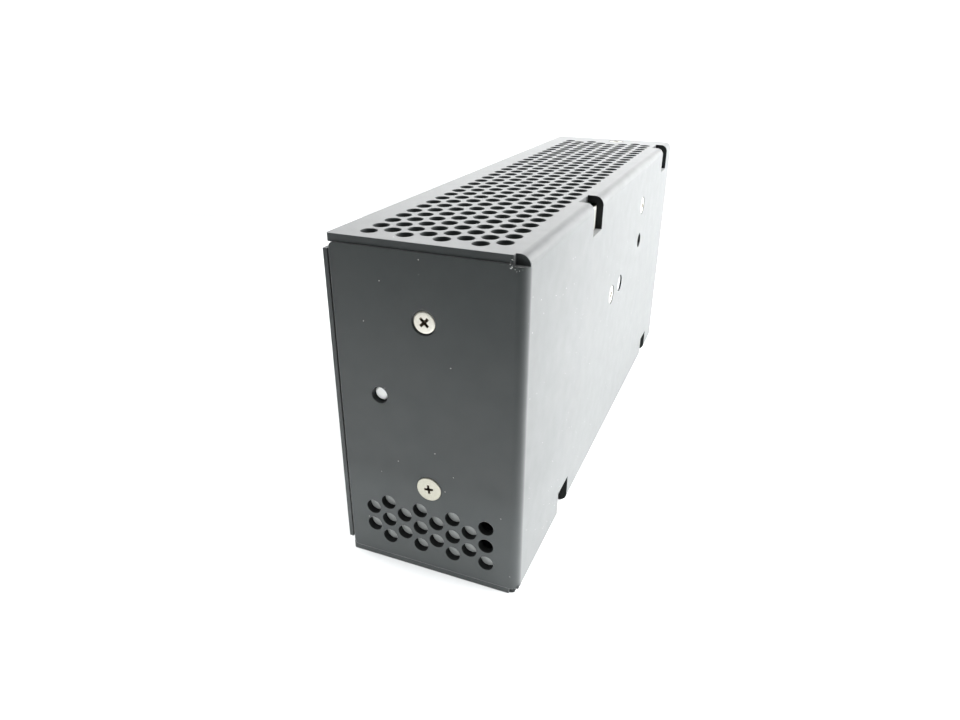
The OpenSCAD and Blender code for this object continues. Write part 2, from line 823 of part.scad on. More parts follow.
module status_led() {
    color("limegreen") place() {
        translate([adjust_x, 170, led_z]) rotate([-90, 0, 0]) cylinder(r = led_r, h = 5.5);
        translate([adjust_x, 175.5, led_z]) sphere(r = led_r);
        translate([adjust_x, 169, led_z]) rotate([-90, 0, 0]) cylinder(r = 1.9, h = 1);
        for (side = [-1, 1])
            block([adjust_x - 0.3, 168.3, led_z + side * 1.27 - 0.25],
                  [board_face, 169.05, led_z + side * 1.27 + 0.25]);
    }
}

// Output voltage adjuster: square body with a round seat for the rotor
module trimmer_body() {
    color("royalblue") place() difference() {
        block([adjust_x - 3.3, 166, adjust_z - 3.3], [board_face, 172, adjust_z + 3.3]);
        translate([adjust_x, 168.4, adjust_z]) rotate([-90, 0, 0]) cylinder(r = rotor_r + 0.05, h = 5);
    }
}

module trimmer_rotor() {
    color("white") place() difference() {
        translate([adjust_x, 168.5, adjust_z]) rotate([-90, 0, 0]) cylinder(r = rotor_r, h = 4);
        block([adjust_x - 1.3, 171.7, adjust_z - 0.35], [adjust_x + 1.3, 173, adjust_z + 0.35]);
    }
}

// ---------------------------------------------------------------- terminals

function pole_z(i) = strip_z + rib_t / 2 + pole_pitch * (i + 0.5);

// Barrier strip with an ear at each end for the cover's pins
module terminal_body() {
    color("black") place() difference() {
        union() {
            block([strip_x, strip_y, strip_z], [board_face, pocket_y, strip_end]);
            block([board_face - 2, pocket_y, strip_z], [board_face, strip_front, strip_end]);
            for (i = [0 : poles])
                block([strip_x, pocket_y, strip_z + i * pole_pitch],
                      [board_face, strip_front, strip_z + i * pole_pitch + rib_t]);
            for (z = [strip_z - ear_t, strip_end])
                block([hinge_x - 6, pocket_y + 2, z], [hinge_x + 2.2, hinge_y + 2.2, z + ear_t]);
        }
        for (i = [0 : poles - 1])
            translate([screw_x, pocket_y - 9, pole_z(i)])
                rotate([-90, 0, 0]) cylinder(r = 1.75, h = 9 + over);
        translate([hinge_x, hinge_y, strip_z - ear_t - over])
            cylinder(r = pin_r + 0.05, h = ear_t + over);
        translate([hinge_x, hinge_y, strip_end]) cylinder(r = pin_r + 0.05, h = ear_t + over);
    }
}

// Contact plates on the floor of each pocket
module terminal_plates() {
    color("silver") place()
        for (i = [0 : poles - 1]) difference() {
            block([strip_x + 1.5, pocket_y, pole_z(i) - 3.6],
                  [board_face - 2.4, pocket_y + 1.2, pole_z(i) + 3.6]);
            translate([screw_x, pocket_y - over, pole_z(i)])
                rotate([-90, 0, 0]) cylinder(r = 1.75, h = 1.2 + 2 * over);
        }
}

// Square washers that press the wires down
module terminal_clamps() {
    y = pocket_y + 1.2;
    color("silver") place()
        for (i = [0 : poles - 1]) difference() {
            block([screw_x - 3.7, y, pole_z(i) - 3.5], [screw_x + 3.7, y + 1.2, pole_z(i) + 3.5]);
            translate([screw_x, y - over, pole_z(i)])
                rotate([-90, 0, 0]) cylinder(r = 1.75, h = 1.2 + 2 * over);
        }
}

module terminal_screws() {
    color("gainsboro") place()
        for (i = [0 : poles - 1])
            translate([screw_x, pocket_y + 2.4, pole_z(i)])
                rotate([-90, 0, 0]) pan_screw(3, 2.4, 1.7, 9);
}

// Clear cover: a flap with a snap lip, on a round knuckle with a pin at each end
module terminal_cover() {
    flap_y = hinge_y + 0.7;
    flap_t = 1.2;
    free_x = strip_x - 1.6;
    z0 = strip_z + 0.2;
    z1 = strip_end - 0.2;
    color("lightcyan") place() {
        translate([hinge_x, hinge_y, z0]) cylinder(r = knuckle_r, h = z1 - z0);
        translate([hinge_x, hinge_y, strip_z - ear_t])
            cylinder(r = pin_r, h = strip_end - strip_z + 2 * ear_t);
        block([free_x, flap_y, z0], [hinge_x, flap_y + flap_t, z1]);
        block([free_x, flap_y - 3.4, z0], [free_x + 1.1, flap_y + flap_t, z1]);
    }
}

// ---------------------------------------------------------------- rail clip

// Steel plate with two fixed hooks above the rail and a channel for the latch below it
module din_bracket() {
    hook_low = rail_high - 2.6;
    guide_in = latch_w / 2 + 2.3;
    color("silver") place() difference() {
        union() {
            block([clip_face, clip_y - clip_w / 2, 14], [cover_x, clip_y + clip_w / 2, 76]);
            for (y = [clip_y - 16, clip_y + 6]) {
                block([clip_face - rail_gap - hook_t, y, rail_high + 0.2],
                      [clip_face, y + 10, rail_high + 2.2]);
                block([clip_face - rail_gap - hook_t, y, hook_low],
                      [clip_face - rail_gap, y + 10, rail_high + 2.2]);
            }
            for (side = [-1, 1]) {
                block([clip_face - 2.85, clip_y + side * (guide_in + 0.9) - 0.9, 14],
                      [clip_face, clip_y + side * (guide_in + 0.9) + 0.9, 27]);
                block([clip_face - 2.85, clip_y + side * (guide_in + 0.1) - 1.7, 14],
                      [clip_face - 1.65, clip_y + side * (guide_in + 0.1) + 1.7, 27]);
            }
            block([clip_face - 3.8, clip_y - window_w / 2 + 0.3, tab_z],
                  [clip_face, clip_y + window_w / 2 - 0.3, tab_z + tab_t]);
        }
        for (p = clip_screws)
            translate([clip_face, p[0], p[1]])
                rotate([0, -90, 0]) sink_hole(m3_head_r + 0.1, 1.6, bracket_t, 0.35);
    }
}

// Sliding latch: a lip behind the rail's lower edge, a window for the spring, a slot for a tool
module din_latch() {
    body_top = rail_low - 0.2;
    color("black") place() difference() {
        union() {
            block([latch_back - latch_t, clip_y - latch_w / 2, latch_low],
                  [latch_back, clip_y + latch_w / 2, body_top]);
            block([latch_back - 1.25, clip_y - latch_w / 2 - 2, latch_low + 6],
                  [latch_back, clip_y + latch_w / 2 + 2, body_top - 0.5]);
            block([clip_face - rail_gap - 2.2, clip_y - latch_w / 2, body_top - over],
                  [clip_face - rail_gap, clip_y + latch_w / 2, rail_low + 2.8]);
        }
        block([latch_back - latch_t - over, clip_y - window_w / 2, tab_z - 0.1],
              [latch_back + over, clip_y + window_w / 2, window_top]);
        block([latch_back - latch_t - over, clip_y - 4, latch_low + 2],
              [latch_back + over, clip_y + 4, latch_low + 4.2]);
    }
}

// Compression spring between the bracket's tab and the top of the latch's window
module latch_spring() {
    z0 = tab_z + tab_t;
    rise = window_top - z0;
    sides = 12;
    ring = 6;
    steps = spring_turns * sides;
    wire = spring_wire / 2;
    pts = [for (i = [0 : steps])
        let (a = 360 * i / sides, z = wire + (rise - 2 * wire) * i / steps)
        for (j = [0 : ring - 1])
            let (b = 360 * j / ring)
            [(spring_r + wire * cos(b)) * cos(a), (spring_r + wire * cos(b)) * sin(a), z + wire * sin(b)]];
    sides_faces = [for (i = [0 : steps - 1]) for (j = [0 : ring - 1])
        [i * ring + j, (i + 1) * ring + j, (i + 1) * ring + (j + 1) % ring, i * ring + (j + 1) % ring]];
    ends = [[for (j = [0 : ring - 1]) j], [for (j = [ring - 1 : -1 : 0]) steps * ring + j]];
    color("silver") place()
        translate([clip_face - 2.3, clip_y, z0]) polyhedron(points = pts, faces = concat(sides_faces, ends));
}

// Flush screws that hold the bracket to the cover
module din_screws() {
    color("gainsboro") place()
        for (p = clip_screws)
            translate([clip_face - 0.02, p[0], p[1]])
                rotate([0, -90, 0]) flat_screw(m3_head_r, m3_r, 5);
}

// ---------------------------------------------------------------- output

chassis();
side_cover();
cover_brackets();
cover_nuts();
front_panel();
near_end_screws();
panel_screws();
cover_screws();
heatsink_screws();
wall_nut();
wall_post();
end_insulator();
nylon_rivet();
board_insulator();
circuit_board();
board_standoffs();
board_screws();
heatsink_spacers();
primary_heatsink();
secondary_heatsink();
switching_transistors();
output_diodes();
thermal_pads();
transistor_screws();
transformer_core();
transformer_bobbin();
transformer_winding();
boost_choke_core();
boost_choke_bobbin();
boost_choke_winding();
line_choke_core();
line_choke_windings();
output_choke_core();
output_choke_winding();
bulk_capacitors();
output_capacitors();
line_capacitors();
suppression_capacitors();
bridge_rectifier();
inrush_thermistor();
fuse_tube();
fuse_caps();
fuse_clips();
control_chip();
optocouplers();
status_led();
trimmer_body();
trimmer_rotor();
terminal_body();
terminal_plates();
terminal_clamps();
terminal_screws();
terminal_cover();
din_bracket();
din_latch();
latch_spring();
din_screws();
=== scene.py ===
"""Looks for an enclosed power supply with a rail clip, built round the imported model.

The case and the board's parts keep their CAD shapes and get procedural materials. Screws, the wall
post, the spring and the windings are rebuilt as finer meshes, on the places that their CAD nodes give.
"""
import json
import math

import bmesh
import bpy
from mathutils import Matrix, Vector


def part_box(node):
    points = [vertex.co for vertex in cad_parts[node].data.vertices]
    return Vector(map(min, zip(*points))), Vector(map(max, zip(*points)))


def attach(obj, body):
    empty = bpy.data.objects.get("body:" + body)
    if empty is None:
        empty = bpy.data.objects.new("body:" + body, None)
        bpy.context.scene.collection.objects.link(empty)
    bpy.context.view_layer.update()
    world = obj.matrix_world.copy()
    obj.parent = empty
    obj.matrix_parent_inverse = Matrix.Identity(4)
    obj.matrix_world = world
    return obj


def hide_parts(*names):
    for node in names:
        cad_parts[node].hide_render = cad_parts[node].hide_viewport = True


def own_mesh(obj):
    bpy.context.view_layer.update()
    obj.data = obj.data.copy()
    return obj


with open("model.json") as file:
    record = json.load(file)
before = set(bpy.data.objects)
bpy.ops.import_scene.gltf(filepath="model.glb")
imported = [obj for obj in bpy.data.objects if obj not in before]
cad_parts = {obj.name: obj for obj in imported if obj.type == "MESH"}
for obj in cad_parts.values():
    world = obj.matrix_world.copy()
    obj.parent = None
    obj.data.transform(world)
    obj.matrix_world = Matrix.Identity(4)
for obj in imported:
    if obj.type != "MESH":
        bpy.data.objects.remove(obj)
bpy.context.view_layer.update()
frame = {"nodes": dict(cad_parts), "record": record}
NODES = frame["nodes"]
MM = 0.001
CASE_LOW, CASE_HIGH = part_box("chassis")


# ---------------------------------------------------------------- camera, stage and light

CAMERA_FROM_CORNER = Vector((93.99, -130.94, 133.04)) * MM
AZIMUTH, ELEVATION, ROLL = (math.radians(a) for a in (22.72, 25.06, 0.19))
LENS_MM = 25.875
SENSOR_MM = 36
WALL_FROM_CAMERA = 0.56
STAGE_HALF = 1.5
DARK_CARD_EDGE_Y = -0.26
GLOW_HEIGHT = 0.03


def camera_axes():
    """Right, up and forward of the camera, from its azimuth, elevation and roll."""
    forward = Vector((-math.sin(AZIMUTH) * math.cos(ELEVATION),
                      math.cos(AZIMUTH) * math.cos(ELEVATION),
                      -math.sin(ELEVATION)))
    level = forward.cross(Vector((0, 0, 1))).normalized()
    top = level.cross(forward)
    right = level * math.cos(ROLL) + top * math.sin(ROLL)
    up = top * math.cos(ROLL) - level * math.sin(ROLL)
    return right, up, forward


def add_camera():
    right, up, forward = camera_axes()
    data = bpy.data.cameras.new("camera")
    data.lens = LENS_MM
    data.sensor_width = SENSOR_MM
    data.clip_start = 0.005
    camera = bpy.data.objects.new("camera", data)
    bpy.context.scene.collection.objects.link(camera)
    turn = Matrix((right, up, -forward)).transposed().to_4x4()
    camera.matrix_world = Matrix.Translation(CASE_LOW + CAMERA_FROM_CORNER) @ turn
    bpy.context.scene.camera = camera


def add_light(name, place, aim, size, power, colour=(1, 1, 1)):
    data = bpy.data.lights.new(name, "AREA")
    data.shape = "RECTANGLE"
    data.size, data.size_y = size
    data.energy = power
    data.color = colour
    light = bpy.data.objects.new(name, data)
    bpy.context.scene.collection.objects.link(light)
    light.location = place
    light.rotation_euler = (Vector(aim) - Vector(place)).to_track_quat("-Z", "Y").to_euler()
    light.visible_camera = False


def paper(name, tone, spread):
    """Matt paper with a faint unevenness."""
    look = Look(name, tone, 0.9)
    look.tint(look.noise(60), [t - spread for t in tone], [t + spread for t in tone])
    return look.material


def add_stage():
    """A pale floor and a wall behind it, with a dark card in front that only reflections meet."""
    half = STAGE_HALF
    floor = box_mesh("floor", (-half, -half, -0.004), (half, half, 0))
    floor.data.materials.append(paper("floor_paper", (0.86, 0.875, 0.88), 0.005))
    card = box_mesh("dark_card", (-half, -half, 0.0005), (half, DARK_CARD_EDGE_Y, 0.0015))
    card.data.materials.append(paper("dark_paper", (0.03, 0.03, 0.03), 0.005))
    card.visible_camera = card.visible_diffuse = card.visible_transmission = card.visible_shadow = False
    forward = Vector((-math.sin(AZIMUTH), math.cos(AZIMUTH), 0))
    middle = CASE_LOW + CAMERA_FROM_CORNER + forward * WALL_FROM_CAMERA
    wall = box_mesh("wall", (-half, 0, -0.004), (half, 0.004, 1.2))
    wall.rotation_euler.z = AZIMUTH
    wall.location = (middle.x, middle.y, 0)
    wall.data.materials.append(paper("wall_paper", (0.775, 0.785, 0.79), 0.005))


def add_lights():
    world = bpy.data.worlds.new("studio")
    world.use_nodes = True
    world.node_tree.nodes["Background"].inputs["Color"].default_value = (0.93, 0.97, 1, 1)
    world.node_tree.nodes["Background"].inputs["Strength"].default_value = 0.08
    bpy.context.scene.world = world
    bpy.context.scene.view_settings.view_transform = "Standard"
    add_light("right_box", (0.45, 0.05, 0.2), (0.1, 0, 0), (0.3, 0.3), 2.4)
    add_light("right_back_box", (0.35, 0.35, 0.25), (0.05, 0.1, 0.03), (0.4, 0.4), 6.3)
    add_light("left_box", (-0.5, 0.05, 0.28), (-0.1, 0, 0), (0.4, 0.4), 2.8)
    add_light("top_box", (-0.02, -0.13, 0.22), (-0.02, -0.13, 0), (0.2, 0.12), 0.16)
    add_light("roof_box", (-0.04, 0.06, 0.22), (-0.01, -0.06, 0.09), (0.14, 0.1), 0.23)
    for name, x, y, size, power in (("near_glow", -0.03, -0.135, (0.24, 0.06), 0.07),
                                    ("front_glow", -0.1, -0.19, (0.3, 0.08), 0.25),
                                    ("right_glow", 0.1, 0, (0.06, 0.24), 0.21),
                                    ("corner_glow", 0.07, -0.06, (0.05, 0.1), 0.04)):
        add_light(name, (x, y, GLOW_HEIGHT), (x, y, 0), size, power)


# ---------------------------------------------------------------- material nodes

class Look:
    """One Principled material, with short calls for its procedural nodes in object coordinates."""

    def __init__(self, name, colour, rough, metallic=0.0, **sockets):
        self.material = bpy.data.materials.new(name)
        self.material.use_nodes = True
        self.tree = self.material.node_tree
        self.shader = self.tree.nodes["Principled BSDF"]
        self.shader.inputs["Base Color"].default_value = (*colour, 1)
        self.shader.inputs["Roughness"].default_value = rough
        self.shader.inputs["Metallic"].default_value = metallic
        for socket, value in sockets.items():
            self.shader.inputs[socket.replace("_", " ")].default_value = value
        self.place = self.tree.nodes.new("ShaderNodeTexCoord").outputs["Object"]
        self.normal = None

    def node(self, kind, **inputs):
        made = self.tree.nodes.new(kind)
        for name, value in inputs.items():
            socket = made.inputs[name.replace("_", " ")]
            if isinstance(value, bpy.types.NodeSocket):
                self.tree.links.new(value, socket)
            else:
                socket.default_value = value
        return made

    def scaled(self, stretch, centre=(0, 0, 0)):
        """Object coordinates from centre, multiplied by stretch along each axis."""
        moved = self.node("ShaderNodeVectorMath", **{"Vector": self.place})
        moved.operation = "SUBTRACT"
        moved.inputs[1].default_value = centre
        scaled = self.node("ShaderNodeVectorMath", **{"Vector": moved.outputs[0]})
        scaled.operation = "MULTIPLY"
        scaled.inputs[1].default_value = stretch
        return scaled.outputs[0]

    def noise(self, size_mm, detail=3, stretch=(1, 1, 1)):
        made = self.node("ShaderNodeTexNoise", Vector=self.scaled(stretch), Scale=1 / (size_mm * MM),
                         Detail=detail)
        return made.outputs["Fac"]

    def bands(self, size_mm, axis):
        """Parallel bands across an axis, such as turns of wire or tape."""
        made = self.node("ShaderNodeTexWave", Vector=self.place, Scale=0.314 / (size_mm * MM), Detail=0.0)
        made.bands_direction = axis
        return made.outputs["Fac"]

    def ramp(self, factor, stops):
        made = self.node("ShaderNodeValToRGB", Fac=factor)
        made.color_ramp.elements[0].position = stops[0][0]
        made.color_ramp.elements[0].color = (*stops[0][1], 1)
        made.color_ramp.elements[1].position = stops[-1][0]
        made.color_ramp.elements[1].color = (*stops[-1][1], 1)
        for place, colour in stops[1:-1]:
            made.color_ramp.elements.new(place).color = (*colour, 1)
        return made.outputs["Color"]

    def tint(self, factor, low, high):
        """Base colour between two colours."""
        self.tint_steps(factor, [(0.3, low), (0.7, high)])

    def tint_steps(self, factor, stops):
        self.tree.links.new(self.ramp(factor, stops), self.shader.inputs["Base Color"])

    def math(self, operation, *values):
        made = self.tree.nodes.new("ShaderNodeMath")
        made.operation = operation
        for socket, value in zip(made.inputs, values):
            if isinstance(value, bpy.types.NodeSocket):
                self.tree.links.new(value, socket)
            else:
                socket.default_value = value
        return made.outputs[0]

    def specks(self, apart_mm, radius_mm, share):
        """1 inside sparse round specks, 0 elsewhere."""
        made = self.node("ShaderNodeTexVoronoi", Vector=self.place, Scale=1 / (apart_mm * MM))
        colour = self.node("ShaderNodeSeparateColor", Color=made.outputs["Color"])
        inside = self.math("LESS_THAN", made.outputs["Distance"], radius_mm / apart_mm)
        return self.math("MULTIPLY", inside, self.math("LESS_THAN", colour.outputs[0], share))

    def within(self, centre, radius_mm):
        """1 inside a ball round centre, 0 outside."""
        offset = self.node("ShaderNodeVectorMath", **{"Vector": self.scaled((1, 1, 1), centre)})
        offset.operation = "LENGTH"
        return self.math("LESS_THAN", offset.outputs["Value"], radius_mm * MM)

    def facing(self, axis, limit=0.9):
        """1 on faces whose normal lies along axis, such as the tops of upright parts."""
        normal = self.tree.nodes.new("ShaderNodeTexCoord").outputs["Normal"]
        made = self.node("ShaderNodeVectorMath", **{"Vector": normal})
        made.operation = "DOT_PRODUCT"
        made.inputs[1].default_value = axis
        return self.math("GREATER_THAN", made.outputs["Value"], limit)

    def cover(self, socket, factor, value):
        """Mixes value over what feeds a socket, by factor."""
        target = self.shader.inputs[socket]
        made = self.tree.nodes.new("ShaderNodeMix")
        made.data_type = "RGBA" if socket == "Base Color" else "FLOAT"
        kind = 2 if socket == "Base Color" else 0
        first, second = [i for i in made.inputs if i.name in "AB" and i.enabled]
        if target.links:
            self.tree.links.new(target.links[0].from_socket, first)
        else:
            first.default_value = target.default_value
        second.default_value = (*value, 1) if kind else value
        self.tree.links.new(factor, made.inputs["Factor"])
        self.tree.links.new(next(o for o in made.outputs if o.enabled), target)

    def roughen(self, factor, low, high):
        made = self.node("ShaderNodeMapRange", Value=factor)
        for name, value in (("From Min", 0.3), ("From Max", 0.7), ("To Min", low), ("To Max", high)):
            made.inputs[name].default_value = value
        self.tree.links.new(made.outputs["Result"], self.shader.inputs["Roughness"])

    def round_edges(self, radius_mm):
        made = self.node("ShaderNodeBevel", Radius=radius_mm * MM)
        made.samples = 6
        self.normal = made.outputs["Normal"]
        self.tree.links.new(self.normal, self.shader.inputs["Normal"])

    def bump(self, height, depth_mm, strength=1.0):
        made = self.node("ShaderNodeBump", Height=height, Distance=depth_mm * MM, Strength=strength)
        if self.normal is not None:
            self.tree.links.new(self.normal, made.inputs["Normal"])
        self.normal = made.outputs["Normal"]
        self.tree.links.new(self.normal, self.shader.inputs["Normal"])


# ---------------------------------------------------------------- materials

def case_paint():
    """Satin dark grey paint: fine texture, faint mottling and eased edges, with pale dusty specks that are
    partly painted glints, and a chipped corner whose pale flakes are partly painted glints."""
    look = Look("case_paint", (0.02, 0.025, 0.025), 0.55, Sheen_Weight=0.45, Sheen_Roughness=0.4)
    look.tint(look.noise(14, 4), (0.018, 0.0235, 0.024), (0.022, 0.0265, 0.0265))
    look.roughen(look.noise(5, 3), 0.52, 0.58)
    look.round_edges(0.3)
    # Pale specks in the base colour: dusty specks, partly painted glints.
    dust_and_glint_specks = look.specks(apart_mm=2.6, radius_mm=0.13, share=0.22)
    look.cover("Base Color", dust_and_glint_specks, (0.42, 0.42, 0.39))
    # Pale flakes round the top corner: chipped paint, partly painted glints.
    corner = Vector((CASE_HIGH.x - 2.6 * MM, CASE_LOW.y, CASE_HIGH.z - 2 * MM))
    flakes = look.math("GREATER_THAN", look.noise(0.4, 1), 0.67)
    chipped_paint_and_glints = look.math("MULTIPLY", look.within(corner, radius_mm=1.7), flakes)
    look.cover("Base Color", chipped_paint_and_glints, (0.62, 0.62, 0.6))
    look.bump(look.noise(0.35, 2), 0.006)
    look.bump(look.noise(2.2, 2), 0.006)
    return look.material


def metal(name, colour, rough, grain_mm=0.4, stretch=(1, 1, 1), edge=0.15, spread=0.06):
    """Bare or plated metal with a drawn or tumbled grain."""
    look = Look(name, colour, rough, metallic=1.0)
    grain = look.noise(grain_mm, 3, stretch)
    look.tint(grain, [c * 0.9 for c in colour], [min(1, c * 1.05) for c in colour])
    look.roughen(look.noise(grain_mm * 2, 2, stretch), rough - spread, rough + spread)
    look.round_edges(edge)
    look.bump(grain, 0.004)
    return look.material


def moulded(name, colour, rough, grain_mm=0.5, depth_mm=0.01, edge=0.2, shift=0.12, **sockets):
    """Moulded or cast material with a fine sparked surface."""
    look = Look(name, colour, rough, **sockets)
    darker = [c * (1 - shift) for c in colour]
    lighter = [min(1, c * (1 + shift)) for c in colour]
    look.tint(look.noise(6, 4), darker, lighter)
    look.roughen(look.noise(2, 2), rough - 0.05, rough + 0.05)
    look.round_edges(edge)
    look.bump(look.noise(grain_mm, 2), depth_mm)
    return look.material


def board_laminate():
    """Green solder mask over tracks, with a weave at the cut edges."""
    look = Look("board_laminate", (0.03, 0.14, 0.07), 0.32)
    tracks = look.node("ShaderNodeTexVoronoi", Vector=look.scaled((1, 1, 1)), Scale=1 / (9 * MM))
    tracks.distance = "CHEBYCHEV"
    look.tint_steps(tracks.outputs["Distance"], [(0.0, (0.035, 0.17, 0.085)), (0.42, (0.03, 0.15, 0.075)),
                                                 (0.47, (0.018, 0.1, 0.05)), (1.0, (0.018, 0.095, 0.048))])
    look.roughen(look.noise(3, 2), 0.26, 0.36)
    look.bump(look.noise(0.5, 2), 0.006)
    return look.material


def insulating_film():
    """Thin ivory film."""
    look = Look("insulating_film", (0.66, 0.66, 0.6), 0.42)
    look.tint(look.noise(11, 3), (0.6, 0.6, 0.54), (0.7, 0.7, 0.64))
    look.roughen(look.noise(3, 2), 0.34, 0.46)
    look.bump(look.noise(1.5, 2), 0.01)
    return look.material


def white_nylon():
    look = Look("white_nylon", (0.9, 0.91, 0.89), 0.38)
    look.tint(look.noise(1.5, 3), (0.87, 0.88, 0.86), (0.93, 0.94, 0.92))
    look.roughen(look.noise(0.8, 2), 0.32, 0.42)
    look.round_edges(0.2)
    look.bump(look.noise(0.4, 2), 0.006)
    return look.material


def clear(name, colour, rough, weight=0.92):
    """Clear moulding or glass, with faint flow lines."""
    look = Look(name, colour, rough, Transmission_Weight=weight, IOR=1.49)
    look.tint(look.noise(8, 2), [c * 0.97 for c in colour], colour)
    look.roughen(look.noise(4, 2), rough, rough + 0.05)
    look.bump(look.noise(7, 2, (1, 1, 0.2)), 0.01)
    return look.material


def wound(name, low, high, rough, pitch_mm, axis, depth_mm):
    """Turns of wire or tape side by side."""
    look = Look(name, high, rough)
    turns = look.bands(pitch_mm, axis)
    look.tint_steps(turns, [(0.0, low), (0.35, high), (1.0, high)])
    look.roughen(look.noise(2, 2), rough - 0.05, rough + 0.05)
    look.round_edges(0.5)
    look.bump(turns, depth_mm)
    return look.material


def capacitor_sleeve(name, colour):
    """Shrunk sleeve round the can, and its bare metal top."""
    look = Look(name, colour, 0.25)
    look.tint(look.noise(5, 3), [c * 0.75 for c in colour], [c * 1.25 for c in colour])
    top = look.facing((-1, 0, 0))
    look.cover("Base Color", top, (0.62, 0.63, 0.64))
    look.cover("Metallic", top, 1.0)
    look.cover("Roughness", top, 0.38)
    look.round_edges(0.3)
    look.bump(look.noise(1.5, 2, (0.3, 1, 1)), 0.012)
    return look.material


MATERIALS = {
    "case_paint": case_paint(),
    "zinc_steel": metal("zinc_steel", (0.56, 0.575, 0.59), 0.38, 1.2, (1, 1, 1), 0.25),
    "nickel_brass": metal("nickel_brass", (0.66, 0.63, 0.56), 0.3),
    "nickel_screws": metal("nickel_screws", (0.6, 0.58, 0.515), 0.34, 0.3),
    "insulating_film": insulating_film(),
    "white_nylon": white_nylon(),
    "board_laminate": board_laminate(),
    "plain_aluminium": metal("plain_aluminium", (0.74, 0.75, 0.76), 0.36, 0.3, (1, 0.05, 1)),
    "moulded_black": moulded("moulded_black", (0.022, 0.022, 0.024), 0.5),
    "thermal_pad": moulded("thermal_pad", (0.35, 0.47, 0.55), 0.7, 0.3, 0.02),
    "ferrite": moulded("ferrite", (0.05, 0.05, 0.052), 0.55, 0.3, 0.015),
    "powder_core": moulded("powder_core", (0.68, 0.5, 0.08), 0.5, 0.3, 0.015),
    "black_nylon": moulded("black_nylon", (0.028, 0.028, 0.03), 0.45, 0.3, 0.012),
    "yellow_tape": wound("yellow_tape", (0.45, 0.33, 0.05), (0.78, 0.6, 0.1), 0.3, 3.4, "X", 0.04),
    "enamelled_wire": wound("enamelled_wire", (0.16, 0.05, 0.015), (0.5, 0.2, 0.06), 0.25, 0.8, "X", 0.1),
    "blue_sleeve": capacitor_sleeve("blue_sleeve", (0.03, 0.05, 0.17)),
    "dark_sleeve": capacitor_sleeve("dark_sleeve", (0.035, 0.045, 0.055)),
    "yellow_case": moulded("yellow_case", (0.74, 0.62, 0.13), 0.42, 0.4, 0.01, 0.4),
    "blue_ceramic": moulded("blue_ceramic", (0.06, 0.18, 0.5), 0.25, 1.2, 0.03, 0.6),
    "green_ceramic": moulded("green_ceramic", (0.04, 0.12, 0.08), 0.5, 0.8, 0.03, 0.6),
    "fuse_glass": clear("fuse_glass", (0.93, 0.97, 0.96), 0.03),
    "tin_plate": metal("tin_plate", (0.74, 0.74, 0.72), 0.28, 0.8),
    "led_resin": moulded("led_resin", (0.2, 0.6, 0.24), 0.12, 2, 0.004, 0.1, Transmission_Weight=0.5),
    "blue_plastic": moulded("blue_plastic", (0.05, 0.17, 0.48), 0.4, 0.4, 0.01),
    "terminal_plastic": moulded("terminal_plastic", (0.03, 0.03, 0.033), 0.42, 0.4, 0.012, 0.35),
    "clear_plastic": clear("clear_plastic", (0.93, 0.95, 0.96), 0.08),
    "spring_steel": metal("spring_steel", (0.72, 0.72, 0.72), 0.22, 0.3),
}
# Dark brown metal for the inside of the cross recesses: painted shade.
RECESS_SHADE = metal("screw_recess_shade", (0.2, 0.165, 0.12), 0.5, 0.3, edge=0.05)
# A darker copy of the screw nickel: painted shade for the lower near screw.
NICKEL_PAINTED_SHADE = metal("nickel_painted_shade", (0.37, 0.36, 0.305), 0.42, 0.3)
END_CARD = moulded("end_card", (0.3, 0.315, 0.31), 0.45, 1.5, 0.01)
# Near-black paint for the walls of holes and slots: painted shade.
VENT_WALL_SHADE = moulded("vent_wall_painted_shade", (0.006, 0.007, 0.007), 0.75, 0.5, 0.006, Specular_IOR_Level=0.2)


# ---------------------------------------------------------------- mesh helpers

def mesh_object(name, bm, smooth=False):
    mesh = bpy.data.meshes.new(name)
    bmesh.ops.recalc_face_normals(bm, faces=bm.faces)
    bm.to_mesh(mesh)
    bm.free()
    if smooth:
        mesh.shade_smooth()
    made = bpy.data.objects.new(name, mesh)
    bpy.context.scene.collection.objects.link(made)
    return made


def box_mesh(name, low, high):
    bm = bmesh.new()
    bmesh.ops.create_cube(bm, size=1)
    low, high = Vector(low), Vector(high)
    for v in bm.verts:
        v.co = Vector((low[i] + (v.co[i] + 0.5) * (high[i] - low[i]) for i in range(3)))
    return mesh_object(name, bm)


def apply_modifiers(piece):
    bpy.context.view_layer.update()
    evaluated = piece.evaluated_get(bpy.context.evaluated_depsgraph_get())
    mesh = bpy.data.meshes.new_from_object(evaluated)
    old = piece.data
    piece.modifiers.clear()
    piece.data = mesh
    bpy.data.meshes.remove(old)


def lathe(bm, outline, steps=48):
    """Turns an outline of (radius, height) points, in mm, round z."""
    rows = []
    for radius, height in outline:
        if radius == 0:
            rows.append([bm.verts.new((0, 0, height * MM))])
        else:
            rows.append([bm.verts.new((radius * MM * math.cos(2 * math.pi * i / steps),
                                       radius * MM * math.sin(2 * math.pi * i / steps), height * MM))
                         for i in range(steps)])
    for a, b in zip(rows, rows[1:]):
        for i in range(steps):
            j = (i + 1) % steps
            corners = [a[i % len(a)], a[j % len(a)], b[j % len(b)], b[i % len(b)]]
            unique = list(dict.fromkeys(corners))
            if len(unique) > 2:
                bm.faces.new(unique)


